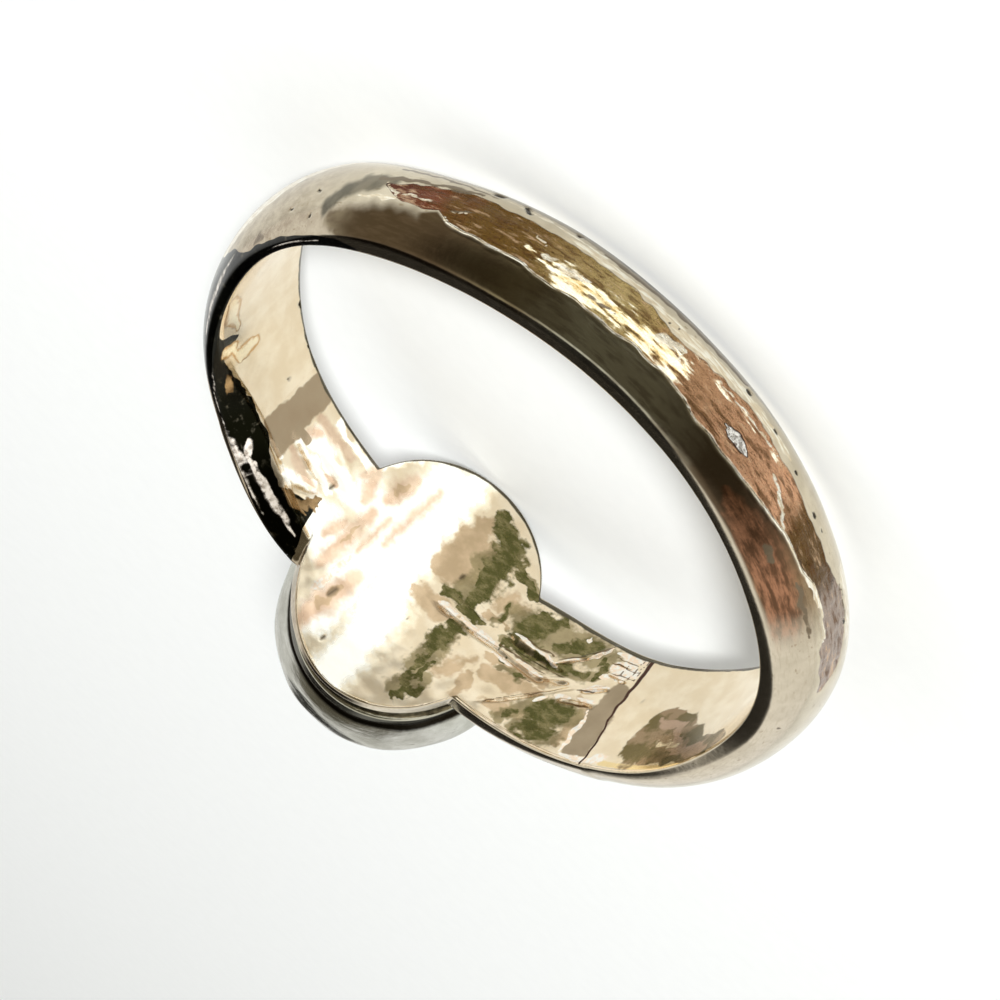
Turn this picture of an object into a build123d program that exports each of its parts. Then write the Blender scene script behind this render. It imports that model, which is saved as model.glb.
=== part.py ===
from build123d import *
from math import cos, radians, sin
import os

# Garnet solitaire ring in millimetres, lying on its side, +Z up. Until it is laid down, the
# finger hole is centred on the origin along Z, and the setting points along +Y.

# Finger hole
HOLE_R = 8.5
EDGE_SOFTENING = 0.06
BORING_ALLOWANCE = 0.30
BORE_LENGTH = 16.0

# Band: one row per section, evenly spaced round the finger from BAND_START degrees past the
# middle of the setting to as far short of it on the other side.
# near, far: half widths at the finger. lean: how much further out the near side stands.
# side: depth of the flat sides. crown: full thickness in the middle.
BAND_START = 1.0
BAND_SECTIONS = [
    # near, lean, far, side, crown
    (1.60, 0.06, 1.60, 0.50, 1.30),
    (1.25, 0.85, 1.70, 0.60, 1.50),
    (0.70, 0.95, 1.70, 0.80, 1.45),
    (1.45, 0.28, 1.95, 0.45, 1.35),
    (1.35, 0.06, 2.00, 0.40, 1.10),
    (1.40, 0.06, 1.60, 0.35, 1.00),
    (1.65, 0.06, 0.95, 0.65, 1.30),
    (1.70, 0.06, 1.05, 0.65, 1.35),
    (1.65, 0.06, 1.00, 0.75, 1.40),
    (1.65, 0.06, 1.20, 0.45, 1.40),
    (1.75, 0.06, 1.25, 0.40, 1.40),
    (1.65, 0.06, 1.40, 0.50, 1.45),
    (1.65, 0.06, 1.65, 0.50, 1.50),
    (2.15, 0.06, 1.85, 0.20, 1.75),
    (2.30, 0.06, 1.80, 0.20, 1.80),
    (2.10, 0.06, 2.05, 0.60, 1.85),
    (1.60, 0.06, 1.60, 0.50, 1.30),
]

# Heights in the setting are measured outwards from the finger, along Y

# Back plate: an oval that follows the finger, flat on the side of the stone
PLATE_X = -0.11
PLATE_HALF_X = 3.26
PLATE_HALF_Z = 4.07
PLATE_START = -1.70
PLATE_BACK = 0.35
PLATE_ROUNDING = 0.10

# Collet: oval sections up its outside, narrow in the groove behind the rim, fullest below
# the lip that holds the stone
NECK_X = -0.30
NECK_HALF_X = 2.95
NECK_HALF_Z = 3.70
NECK_START = 0.10
RIM_BASE = 0.85
RIM_TOP = 1.35
RIM_HALF_X = 3.20
RIM_HALF_Z = 3.92
WALL_SECTIONS = [
    # height, centre x, half x, half z
    (1.35, -0.33, 3.20, 3.88),
    (1.65, -0.45, 3.48, 4.10),
    (1.95, -0.53, 3.60, 4.20),
    (2.30, -0.53, 3.53, 4.13),
    (2.60, -0.50, 3.25, 3.85),
]

# Hollow for the stone: it widens from a small floor to the shoulder that the stone rests
# over, and is open at the lip
STONE_X = -0.47
FLOOR = 0.65
FLOOR_HALF_X = 1.00
FLOOR_HALF_Z = 1.25
SHOULDER = 1.85
SEAT_HALF_X = 3.02
SEAT_HALF_Z = 3.62
LIP = 2.25
LIP_OVERHANG = 0.20
MOUTH_END = 3.50

# Garnet: an oval brilliant cut. Its own heights are from the girdle, and radii are parts of
# the half width.
STONE_GAP = 0.07
GIRDLE = 2.00
GIRDLE_HEIGHT = 0.10
CROWN_HEIGHT = 1.05
PAVILION_DEPTH = 1.15
TABLE_RADIUS = 0.56
STAR_RADIUS = 0.76
LOWER_RADIUS = 0.55
FACET_TURNS = 8

# Lying on its side: the setting is wider than the band, so it holds its end of the ring up
# by this many degrees, with the back of the band on the ground.
REST_TILT = 9.5


def band_section(angle, near, lean, far, side, crown):
    """One D section in the plane through the finger's axis at this angle, with its bevels run
    on inwards past the finger hole, which is bored afterwards."""
    turn = radians(angle)
    plane = Plane(
        origin=(0, 0, 0),
        x_dir=(sin(turn), cos(turn), 0),
        z_dir=(cos(turn), -sin(turn), 0),
    )
    bevel = min(EDGE_SOFTENING + lean / 2, side - EDGE_SOFTENING)
    near_out = near + lean
    near_in = near - BORING_ALLOWANCE * lean / bevel
    far_out = far + EDGE_SOFTENING
    far_in = far - BORING_ALLOWANCE
    outline = Polyline(
        (HOLE_R + side, -far_out),
        (HOLE_R + EDGE_SOFTENING, -far_out),
        (HOLE_R - BORING_ALLOWANCE, -far_in),
        (HOLE_R - BORING_ALLOWANCE, near_in),
        (HOLE_R + bevel, near_out),
        (HOLE_R + side, near_out),
    )
    crown_arc = ThreePointArc(
        (HOLE_R + side, near_out),
        (HOLE_R + crown, (near_out - far_out) / 2),
        (HOLE_R + side, -far_out),
    )
    return plane * make_face(outline + crown_arc)


def oval(height, centre_x, half_x, half_z):
    """An oval face across the setting's axis, at this height over the finger."""
    plane = Plane(origin=(centre_x, HOLE_R + height, 0), x_dir=(1, 0, 0), z_dir=(0, 1, 0))
    return plane * Ellipse(half_x, half_z)


def oval_column(bottom, top, centre_x, half_x, half_z):
    """A straight column of that oval between two heights."""
    return extrude(oval(bottom, centre_x, half_x, half_z), amount=top - bottom, dir=(0, 1, 0))


def band():
    """The sections of the table joined smoothly round the finger."""
    step = (360 - 2 * BAND_START) / (len(BAND_SECTIONS) - 1)
    rows = enumerate(BAND_SECTIONS)
    return loft([band_section(BAND_START + i * step, *row) for i, row in rows])


def back_plate():
    """The plate against the finger, with its outer edge rounded."""
    column = oval_column(PLATE_START, PLATE_BACK, PLATE_X, PLATE_HALF_X, PLATE_HALF_Z)
    back_edge = column.edges().sort_by(Axis.Y)[-1]
    return fillet(back_edge, PLATE_ROUNDING)


def collet():
    """The neck in the groove, the thin rim over it and the wall that bulges round the stone."""
    neck = oval_column(NECK_START, RIM_BASE, NECK_X, NECK_HALF_X, NECK_HALF_Z)
    rim = oval_column(RIM_BASE, RIM_TOP, NECK_X, RIM_HALF_X, RIM_HALF_Z)
    wall = loft([oval(*row) for row in WALL_SECTIONS])
    return neck + rim + wall


def stone_seat():
    """The hollow that the stone sits in, and the smaller mouth inside the lip."""
    floor = oval(FLOOR, STONE_X, FLOOR_HALF_X, FLOOR_HALF_Z)
    funnel = loft([floor, oval(SHOULDER, STONE_X, SEAT_HALF_X, SEAT_HALF_Z)])
    seat = oval_column(SHOULDER, LIP, STONE_X, SEAT_HALF_X, SEAT_HALF_Z)
    mouth_half_x = SEAT_HALF_X - LIP_OVERHANG
    mouth_half_z = SEAT_HALF_Z - LIP_OVERHANG
    mouth = oval_column(LIP, MOUTH_END, STONE_X, mouth_half_x, mouth_half_z)
    return funnel + seat + mouth


def band_with_setting():
    """All the soldered metal, bored for the finger last."""
    metal = band() + back_plate() + collet()
    return metal - stone_seat() - Cylinder(HOLE_R, BORE_LENGTH)


def girdle_points(height):
    """The corners of the girdle, two for each turn of the facets."""
    step = radians(180 / FACET_TURNS)
    return [(cos(i * step), height, sin(i * step)) for i in range(2 * FACET_TURNS)]


def ring_points(radius, height, offset):
    """Points at every facet turn, offset by a part of a turn."""
    step = radians(360 / FACET_TURNS)
    turns = [(i + offset) * step for i in range(FACET_TURNS)]
    return [(radius * cos(a), height, radius * sin(a)) for a in turns]


def garnet():
    """A table, stars, kites and upper halves over the girdle, and mains and lower halves
    under it."""
    half_x = SEAT_HALF_X - STONE_GAP
    half_z = SEAT_HALF_Z - STONE_GAP
    half_turn = cos(radians(180 / FACET_TURNS))
    half_girdle = GIRDLE_HEIGHT / 2
    crown_slope = CROWN_HEIGHT / (1 - TABLE_RADIUS)
    star_height = half_girdle + crown_slope * (1 - STAR_RADIUS * half_turn)
    lower_height = -half_girdle - PAVILION_DEPTH * (1 - LOWER_RADIUS * half_turn)
    table = ring_points(TABLE_RADIUS, half_girdle + CROWN_HEIGHT, 0)
    star = ring_points(STAR_RADIUS, star_height, 0.5)
    lower = ring_points(LOWER_RADIUS, lower_height, 0.5)
    upper_girdle = girdle_points(half_girdle)
    lower_girdle = girdle_points(-half_girdle)
    culet = (0, -half_girdle - PAVILION_DEPTH, 0)
    count = 2 * FACET_TURNS
    facets = [table]
    for i in range(FACET_TURNS):
        after = (i + 1) % FACET_TURNS
        main = 2 * i
        middle = 2 * i + 1
        following = (2 * i + 2) % count
        facets.append([table[i], table[after], star[i]])
        facets.append([table[i], star[i], upper_girdle[main], star[i - 1]])
        facets.append([star[i], upper_girdle[main], upper_girdle[middle]])
        facets.append([star[i], upper_girdle[middle], upper_girdle[following]])
        facets.append([culet, lower[i], lower_girdle[main], lower[i - 1]])
        facets.append([lower[i], lower_girdle[main], lower_girdle[middle]])
        facets.append([lower[i], lower_girdle[middle], lower_girdle[following]])
        for a, b in ((main, middle), (middle, following)):
            facets.append([upper_girdle[a], upper_girdle[b], lower_girdle[b], lower_girdle[a]])
    faces = []
    for facet in facets:
        placed = [(STONE_X + half_x * x, HOLE_R + GIRDLE + y, half_z * z) for x, y, z in facet]
        faces.append(Face(Wire.make_polygon(placed)))
    return Solid(Shell(faces))


parts = {
    "band_with_setting": band_with_setting(),
    "garnet": garnet(),
}

# Lay the ring down, then stand the middle of its footprint on the origin
laid = {name: Rot(X=REST_TILT) * part for name, part in parts.items()}
box = laid["band_with_setting"].bounding_box()
box = box.add(laid["garnet"].bounding_box())
shift = Pos(-box.center().X, -box.center().Y, -box.min.Z)

os.makedirs("parts", exist_ok=True)
for name, part in laid.items():
    export_step(shift * part, "parts/" + name + ".step")
print("finger hole's centre", shift.position)
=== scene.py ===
import math

import bpy
import numpy as np
from mathutils import Matrix, Vector


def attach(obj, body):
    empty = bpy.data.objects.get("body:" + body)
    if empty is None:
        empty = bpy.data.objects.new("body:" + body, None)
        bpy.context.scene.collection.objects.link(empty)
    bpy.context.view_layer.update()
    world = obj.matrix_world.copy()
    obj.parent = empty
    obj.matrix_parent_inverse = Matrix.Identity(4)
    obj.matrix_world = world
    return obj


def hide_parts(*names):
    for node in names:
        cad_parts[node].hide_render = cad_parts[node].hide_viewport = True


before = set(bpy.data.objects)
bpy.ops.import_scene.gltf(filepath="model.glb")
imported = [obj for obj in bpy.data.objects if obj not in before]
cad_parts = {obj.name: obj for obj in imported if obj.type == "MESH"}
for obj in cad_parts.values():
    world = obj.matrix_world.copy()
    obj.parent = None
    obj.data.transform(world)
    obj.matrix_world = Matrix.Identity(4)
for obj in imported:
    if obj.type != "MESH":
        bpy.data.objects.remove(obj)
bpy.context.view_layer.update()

# The back of the setting is a flat oval plate with two short straps, one piece of low gold
# sheet bent to the finger. The plate was hammered and the right strap wrinkled in the
# bending; the white, tan and olive patches over its inner face are painted highlights and painted
# reflections. Lengths are in millimetres.
FINGER_R = 8.5
HOLE_CENTRE = np.array([0.1954, -0.9632, 2.6190])
LYING_TILT = math.radians(9.5)
WIRE_START = 1.0
WIRE_ROWS = np.array([
    # reach to the near side, its lean, reach to the far side, thickness of sides and crown
    [1.60, 0.06, 1.60, 0.50, 1.30],
    [1.25, 0.85, 1.70, 0.60, 1.50],
    [0.70, 0.95, 1.70, 0.80, 1.45],
    [1.45, 0.28, 1.95, 0.45, 1.35],
    [1.35, 0.06, 2.00, 0.40, 1.10],
    [1.40, 0.06, 1.60, 0.35, 1.00],
    [1.65, 0.06, 0.95, 0.65, 1.30],
    [1.70, 0.06, 1.05, 0.65, 1.35],
    [1.65, 0.06, 1.00, 0.75, 1.40],
    [1.65, 0.06, 1.20, 0.45, 1.40],
    [1.75, 0.06, 1.25, 0.40, 1.40],
    [1.65, 0.06, 1.40, 0.50, 1.45],
    [1.65, 0.06, 1.65, 0.50, 1.50],
    [2.15, 0.06, 1.85, 0.20, 1.75],
    [2.30, 0.06, 1.80, 0.20, 1.80],
    [2.10, 0.06, 2.05, 0.60, 1.85],
    [1.60, 0.06, 1.60, 0.50, 1.30],
])
PLAIN_BEVEL = 0.06
# The wire thins under the collet, between these two distances from the middle
UNCOVERED_X, COVERED_X, COVERED_SIDE, COVERED_CROWN = 2.75, 2.25, 0.38, 0.50
PLATE_X, PLATE_HALF_X, PLATE_HALF_Z, PLATE_BACK = -0.11, 3.26, 4.07, 0.35
EDGE_WEAR, BACK_WEAR, FOOT = 0.07, 0.10, 0.04
# Where the points of an edge stand, as shares of its side, its foot and its first climb
SIDE_SHARES = np.array([
    0, 0.03, 0.07, 0.13, 0.20, 0.30, 0.42, 0.54, 0.66, 0.77, 0.86, 0.93, 0.97, 1,
])
FOOT_SHARES = np.array([0.35, 0.7, 1.0])
CLIMB_SHARES = np.array([0.15, 0.3, 0.45, 0.6, 0.7, 0.78, 0.84, 0.9, 0.95, 1])
RIGHT_JOINT, LEFT_JOINT, JOINT_FADE = -47.8, 44.6, 4
# Millimetres to a degree at the finger and outside
FINGER_DEGREE, OUTER_DEGREE = 0.148, 0.17


def lie_down(points):
    """The ring's own frame, finger along Z and setting along Y, turned by the tilt that it
    lies at and moved to its place on the ground, in metres."""
    c, s = math.cos(LYING_TILT), math.sin(LYING_TILT)
    x, y, z = points[..., 0], points[..., 1], points[..., 2]
    laid = np.stack([x, c * y - s * z, s * y + c * z], axis=-1)
    return (laid + HOLE_CENTRE) / 1000


def ease(low, high, value):
    """0 at low and 1 at high, with a smooth S between them."""
    t = np.clip((value - low) / (high - low), 0, 1)
    return t * t * (3 - 2 * t)


def soft_max(a, b, rounding):
    """The larger of the two, with the corner where they cross rounded by about this much."""
    return (a + b + np.sqrt((a - b) ** 2 + rounding ** 2)) / 2


def soft_min(a, b, rounding):
    """The smaller of the two, rounded the same way."""
    return -soft_max(-a, -b, rounding)


def smooth_rows(rows, where):
    """A natural cubic spline through evenly spaced rows: the second slopes solve the usual
    three-band equations, and each value is then a cubic of its place between two rows."""
    n = len(rows)
    bands = np.eye(n) * 4 + np.eye(n, k=1) + np.eye(n, k=-1)
    bands[0, :2] = bands[-1, -2:] = 0
    bands[0, 0] = bands[-1, -1] = 1
    bends = np.zeros_like(rows)
    bends[1:-1] = 6 * (rows[2:] - 2 * rows[1:-1] + rows[:-2])
    curve = np.linalg.solve(bands, bends)
    i = np.clip(where.astype(int), 0, n - 2)
    t = (where - i)[:, None]
    straight = rows[i] * (1 - t) + rows[i + 1] * t
    return straight + (((1 - t) ** 3 - (1 - t)) * curve[i] + (t ** 3 - t) * curve[i + 1]) / 6


def ripples(u, v, size, seed, count=14):
    """A sum of sine waves in random directions, each about `size` long, scaled to about 1."""
    rng = np.random.default_rng(seed)
    total = np.zeros(np.broadcast(u, v).shape)
    for _ in range(count):
        turn, phase = rng.uniform(0, math.tau, 2)
        length = size * rng.uniform(0.6, 1.6)
        wave = (u * math.cos(turn) + v * math.sin(turn)) * math.tau / length
        total += np.sin(wave + phase)
    return total / math.sqrt(count / 2)


def worn_off(wear, away, share=1):
    """What a quarter circle of this radius takes off an edge, this far away from it."""
    near = np.clip(1 - away / wear, 0, 1) * share
    return wear * (1 - np.sqrt(np.clip(1 - near ** 2, 0, 1)))


def ring_grid(degrees, inner_count, crown_count):
    """The section of wire and plate at each angle, as radius and height, one row per angle.
    From the near inner edge it goes across the inner face to the far edge, and back over the
    far side, the crown and the near side. Also returns how far each point stands in from the
    inner face's far edge."""
    turn = np.radians(degrees)
    wrapped = np.mod(degrees, 360)
    place = (wrapped - WIRE_START) / (360 - 2 * WIRE_START) * (len(WIRE_ROWS) - 1)
    place = np.clip(place, 0, len(WIRE_ROWS) - 1)
    near, lean, far, side, crown = smooth_rows(WIRE_ROWS, place).T
    hidden = ease(UNCOVERED_X, COVERED_X, np.abs(FINGER_R * np.sin(turn))) * (np.cos(turn) > 0)
    side = side + (COVERED_SIDE - side) * hidden
    crown = crown + (COVERED_CROWN - crown) * hidden
    bevel = np.minimum(PLAIN_BEVEL + lean / 2, side - PLAIN_BEVEL)
    half_chord = (near + lean + far + PLAIN_BEVEL) / 2
    middle = (near + lean - far - PLAIN_BEVEL) / 2
    rise = crown - side
    arc_r = (half_chord ** 2 + rise ** 2) / (2 * rise)
    arc_centre = crown - arc_r

    def plate_edge(radius):
        """Half height of the plate's oval at this radius, 0 off it."""
        x = (radius * np.sin(turn)[:, None] - PLATE_X) / PLATE_HALF_X
        on_plate = (np.abs(x) < 1) & (np.cos(turn)[:, None] > 0)
        return np.where(on_plate, PLATE_HALF_Z * np.sqrt(np.clip(1 - x * x, 0, 1)), 0)

    def wire_edge(radius, width, out, sign):
        """Half height of the D section: the bevel, the flat side and the crown's circle."""
        depth = radius - FINGER_R
        on_bevel = width[:, None] + out[:, None] * depth / bevel[:, None]
        reach = np.clip(arc_r[:, None] ** 2 - (depth - arc_centre[:, None]) ** 2, 0, None)
        on_arc = np.sqrt(reach) + sign * middle[:, None]
        return soft_min(soft_min(on_bevel, (width + out)[:, None], 0.03), on_arc, 0.05)

    def edge_rows(width, out, sign):
        """One side of the section from the finger outwards: worn inner edge, side, back of
        the plate, foot of the crown."""
        lip = plate_edge(np.array([[FINGER_R]]))
        plate_wins = ease(0.02, 0.20, lip[:, 0] - width)
        plate_r = (FINGER_R + PLATE_BACK) / np.maximum(np.cos(turn), 0.5)
        wire_r = FINGER_R + 0.5 * side
        turn_r = (wire_r + (plate_r - wire_r) * plate_wins)[:, None]
        radius = FINGER_R + (turn_r - FINGER_R) * SIDE_SHARES
        height = soft_max(plate_edge(radius), wire_edge(radius, width, out, sign), 0.05)
        height = height - worn_off(EDGE_WEAR, radius - FINGER_R)
        height = height - worn_off(BACK_WEAR, turn_r - radius, plate_wins[:, None])
        foot_r = turn_r + FOOT
        drop = wire_edge(foot_r, width, out, sign) - height[:, -1:]
        top_r = np.maximum(foot_r + FOOT, (FINGER_R + side + 0.10)[:, None])
        climb = foot_r + (top_r - foot_r) * CLIMB_SHARES
        return (np.concatenate([radius, turn_r + FOOT * FOOT_SHARES, climb], axis=1),
                np.concatenate([height, height[:, -1:] + drop * FOOT_SHARES,
                                wire_edge(climb, width, out, sign)], axis=1))

    near_r, near_h = edge_rows(near, lean, 1)
    far_r, far_h = edge_rows(far, np.full_like(far, PLAIN_BEVEL), -1)
    across = np.linspace(-1, 1, inner_count + 2)[1:-1]
    across = across * 0.8 + np.sin(across * math.pi / 2) * 0.2
    inner_z = (near_h[:, :1] + far_h[:, :1]) / 2 * across + (near_h[:, :1] - far_h[:, :1]) / 2
    start = np.arctan2(near_h[:, -1] - middle, near_r[:, -1] - FINGER_R - arc_centre)
    end = np.arctan2(-far_h[:, -1] - middle, far_r[:, -1] - FINGER_R - arc_centre)
    over = start[:, None] + (end - start)[:, None] * np.linspace(0, 1, crown_count + 2)[1:-1]
    crown_r = FINGER_R + arc_centre[:, None] + arc_r[:, None] * np.cos(over)
    crown_z = middle[:, None] + arc_r[:, None] * np.sin(over)
    inner_r = np.full_like(inner_z, FINGER_R)
    radius = np.concatenate([inner_r, near_r, crown_r, far_r[:, ::-1]], axis=1)
    height = np.concatenate([inner_z, near_h, crown_z, -far_h[:, ::-1]], axis=1)
    return radius, height, height + far_h[:, :1]


def round_finger(angle, radius, height):
    """Points from the angle round the finger, the distance from its middle and the height."""
    turn = np.radians(angle)
    return np.stack([radius * np.sin(turn), radius * np.cos(turn), height], axis=-1)


def pressed(points, amount):
    """The grid moved by this much along its outward normals, which are the cross products
    of the differences to the neighbouring points."""
    across = np.roll(points, -1, axis=1) - np.roll(points, 1, axis=1)
    normal = np.cross(np.gradient(points, axis=0), across)
    return points + normal / np.linalg.norm(normal, axis=-1, keepdims=True) * amount[..., None]


def placed(name, data):
    """A new object in the scene with this mesh, camera or light."""
    thing = bpy.data.objects.new(name, data)
    bpy.context.scene.collection.objects.link(thing)
    return thing


def grid_piece(name, points, place, fields):
    """A closed mesh over a grid whose sections are loops, each end closed by one flat face.
    Kept with it are each point's place, as length, height and radius, and the fields."""
    rows, columns = points.shape[:2]
    i, j = np.meshgrid(np.arange(rows - 1), np.arange(columns), indexing="ij")
    after = (j + 1) % columns
    quads = np.stack([i * columns + j, (i + 1) * columns + j,
                      (i + 1) * columns + after, i * columns + after], axis=-1)
    first = np.arange(columns).tolist()
    last = ((rows - 1) * columns + np.arange(columns)[::-1]).tolist()
    faces = quads.reshape(-1, 4).tolist() + [first, last]
    mesh = bpy.data.meshes.new(name)
    mesh.from_pydata(lie_down(points).reshape(-1, 3), [], faces)
    mesh.polygons.foreach_set("use_smooth", np.ones(len(mesh.polygons), dtype=bool))
    ends = np.empty(len(mesh.edges) * 2, dtype=np.int32)
    mesh.edges.foreach_get("vertices", ends)
    row = ends.reshape(-1, 2) // columns
    rim = (row[:, 0] == row[:, 1]) & ((row[:, 0] == 0) | (row[:, 0] == rows - 1))
    mesh.attributes.new("sharp_edge", "BOOLEAN", "EDGE").data.foreach_set("value", rim)
    places = np.stack(np.broadcast_arrays(*place), axis=-1).astype(np.float32).ravel()
    mesh.attributes.new("place", "FLOAT_VECTOR", "POINT").data.foreach_set("vector", places)
    for field, values in fields.items():
        numbers = np.broadcast_to(values, (rows, columns)).astype(np.float32).ravel()
        mesh.attributes.new(field, "FLOAT", "POINT").data.foreach_set("value", numbers)
    mesh.update()
    return placed(name, mesh)


def strokes(angle, height, radius, rows, taper=0.0):
    """How near each point is to the nearest of several straight strokes: 1 along its middle
    and a half at its half width, falling evenly with the distance. A taper of 1 brings both
    ends of a stroke to a point. A row's strength is 1 where it gives none."""
    best = np.zeros(angle.shape)
    scale = np.radians(1) * radius
    for a0, z0, a1, z1, half_width, *given in rows:
        strength = given[0] if given else 1
        run, climb = (a1 - a0) * scale, z1 - z0
        u, v = (angle - a0) * scale, height - z0
        along = np.clip((u * run + v * climb) / (run ** 2 + climb ** 2 + 1e-9), 0, 1)
        off = np.hypot(u - along * run, v - along * climb)
        width = half_width * (1.02 - taper * (2 * along - 1) ** 2)
        best = np.maximum(best, strength * (1 - off / (2 * width)))
    return best


def folds(angle, height, rows):
    """Ridges along straight lines: a bell curve of the distance from each line, fading out
    towards the line's ends."""
    total = np.zeros(angle.shape)
    scale = math.radians(1) * FINGER_R
    for a0, z0, a1, z1, width, rise in rows:
        run, climb = (a1 - a0) * scale, z1 - z0
        u, v = (angle - a0) * scale, height - z0
        along = (u * run + v * climb) / (run ** 2 + climb ** 2)
        off = (u * climb - v * run) / math.hypot(run, climb)
        total += rise * np.exp(-(off / width) ** 2) * ease(-0.15, 0.2, along) * ease(1.15, 0.8, along)
    return total


# Every stroke of a mark or of painted light is: angle, height, angle, height, half width, [strength].
# The next six tables paint light on the inner face: painted highlights, painted reflections from
# pinkish tan to olive, and painted shade.
# Painted highlights, near white, over the plate and the straps.
PAINTED_HIGHLIGHTS = [
    (0.5, 4.3, 0.2, 1, 0.66), (2.5, 1.6, 3, -0.6, 0.66), (3.8, -0.6, 3.4, -4.3, 0.52),
    (20.5, 0.9, 10, 1.1, 0.85), (17, -0.8, 8, -0.7, 0.75), (9, 2.9, 8.6, -3.2, 0.62),
    (33, -0.55, 20, -0.45, 0.38), (36, 0, 24, 0, 0.16), (33.5, 1.02, 27, 0.4, 0.22),
    (41, 0.84, 36, 0.76, 0.09), (31, -1.42, 21, -1.42, 0.14), (21.5, -1.5, 13, -3.3, 0.16),
]
# Painted reflections in a warm pinkish tan.
BLUSH = [
    (11.5, 3.4, 8.6, 1.2, 0.34), (15.5, 1.7, 14.6, -0.6, 0.26), (14.2, -1.2, 12.6, -2.3, 0.28),
    (9, -0.2, 7.6, -2.6, 0.2, 0.75), (12, 0.6, 11.2, -0.9, 0.16, 0.75),
    (17.4, -0.7, 18.9, -1.4, 0.24), (18.8, 1, 17.2, 0.2, 0.2, 0.9), (36, -1, 25, -1.15, 0.17),
    (35.8, 0.3, 26, 0.46, 0.15), (27, -0.12, 23, -0.22, 0.07), (35.5, -0.45, 33, -0.75, 0.18, 0.9),
    (21, -1.1, 19.5, -1.6, 0.16, 0.8),
]
# Painted reflections in tan.
PAINTED_TAN_REFLECTIONS = [
    (10.6, 2.6, 9.6, 1.7, 0.12), (14.3, -1.5, 13.2, -2, 0.12, 0.9), (15, 0.7, 14.8, 0, 0.07, 0.9),
    (-1.2, 0.12, -9, 0.12, 0.35), (-2.2, -0.8, -3.2, -3, 0.42), (-4.5, -0.9, -7.5, -2.3, 0.5),
    (-21, 0.9, -31, 0.7, 0.36, 0.9), (-20, 0.4, -32, 0.3, 0.16),
    (-14.5, -1.2, -18.5, -1.4, 0.44, 0.8), (-42.2, 1.9, -42.5, 0.6, 0.2),
    (-19.3, 2, -19.8, 1.2, 0.18), (-25, 1.7, -33, 1.5, 0.24, 0.9), (-14, 1.7, -18, 0.8, 0.34, 0.7),
    (-13.6, -0.7, -19, -0.7, 0.1, 0.9), (-40.3, 0.2, -43.2, 0.6, 0.16),
]
# Painted dark reflections, a dim olive tan, mostly on the right strap.
PAINTED_MURKY_REFLECTIONS = [
    (-20.5, -1.15, -38.5, -1.3, 0.56), (-20, -0.28, -33, -0.26, 0.2), (-32, -0.38, -39, -0.5, 0.2),
    (-33.5, 1.85, -41, 1.8, 0.34), (-34, 1.1, -41, 0.95, 0.5), (-29.2, 1.95, -31.8, 1.1, 0.2),
    (-10, 2.9, -13.5, 2.2, 0.3), (-10.5, 2, -11.8, 0.3, 0.34), (-8, -0.6, -11, -1.6, 0.42),
    (-8, -1.9, -11, -2.6, 0.46), (-13, -2.5, -20.5, -2, 0.16), (-39.8, -0.4, -40.3, -1.2, 0.12),
    (-16.9, -0.6, -16.9, -1.3, 0.14), (-22.5, 0.55, -28, 0.45, 0.1, 0.9),
]
SHADOWED = [
    (40.5, 1.2, 40.3, 0.1, 0.585), (40.3, 0.1, 39.7, -2.2, 0.49), (36.5, -0.22, 34.3, -0.28, 0.13),
]
# Painted dark reflections in olive, the darkest, mostly on the right strap.
OLIVE = [
    (-11.4, 3.1, -11.8, 2.8, 0.14), (-10.7, 2.6, -11.2, 2.3, 0.16), (-13.3, 2.8, -13.9, 2.4, 0.17),
    (-12, 2.3, -12.6, 1.5, 0.09), (-10.4, 2, -10.8, 1.4, 0.12), (-10.3, 1.25, -11.4, 0.3, 0.27),
    (-10.3, 0.22, -14, 0.3, 0.14), (-5.2, -0.5, -8.8, -0.48, 0.18),
    (-9.5, -0.33, -15.5, -0.38, 0.11), (-10.6, -0.5, -10.8, -1.8, 0.27),
    (-9, -1.2, -8.2, -2.3, 0.1), (-10.8, -1.8, -9.6, -2.9, 0.42), (-4.4, -3.35, -9.5, -2.9, 0.32),
    (-9, -2.8, -14, -2.4, 0.22), (-14, -2.35, -19.5, -1.95, 0.11),
    (-16.9, -0.65, -16.8, -1.3, 0.08), (-21.6, -0.85, -24.4, -1.45, 0.44),
    (-22.5, -1.5, -27.5, -1.75, 0.17), (-20.3, -0.1, -22, -0.5, 0.12),
    (-21.5, -0.2, -28, -0.3, 0.14), (-27.5, -0.3, -38, -0.52, 0.12),
    (-34.4, 1.85, -39.4, 1.75, 0.3), (-34.9, 1.2, -39.2, 1, 0.44), (-30, 1.8, -30.6, 1.4, 0.1, 0.9),
    (-29, -0.9, -31.8, -1.1, 0.18), (-32, -1.3, -37, -1.45, 0.24), (-38.4, -0.9, -38.8, -1.3, 0.09),
    (-39.7, -0.4, -40, -1.1, 0.07), (-21.5, 0.22, -22.8, 0.36, 0.08),
    (-26, 0.5, -28, 0.36, 0.07, 0.9),
]
GLINTS = [
    (-6, -0.03, -10.2, -0.06, 0.13), (-11, -0.04, -20, 0.02, 0.13),
    (-39.5, -0.02, -43.5, -0.4, 0.12), (-41.8, -1.12, -46.3, -1.1, 0.42),
    (-40.2, -1.6, -47.2, -1.6, 0.13), (-40.2, -0.66, -42, -0.8, 0.1),
    (-35.5, 0.46, -38.5, 0.4, 0.12), (-40, 0.3, -43, 0.22, 0.12), (-32.6, 0.95, -34.2, 0.62, 0.07),
    (-43.4, 0.5, -44.2, 2.1, 0.07), (-44.5, 2.15, -52, 2.14, 0.11), (-51, 2.04, -54.5, 1.86, 0.15),
    (-21, -0.66, -26, -0.54, 0.09), (-26, -0.56, -31.5, -0.42, 0.07), (-20, 0.22, -25, 0.3, 0.06),
    (-25, 0.05, -31, 0.2, 0.08), (-31, -0.48, -36, -1.02, 0.05), (-36, -1.05, -39, -1.7, 0.06),
    (-33.2, -1.58, -33.8, -1.6, 0.1), (13.2, 2.4, 12, 0.8, 0.13), (24, 0.3, 29, 0.62, 0.07),
]
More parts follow.
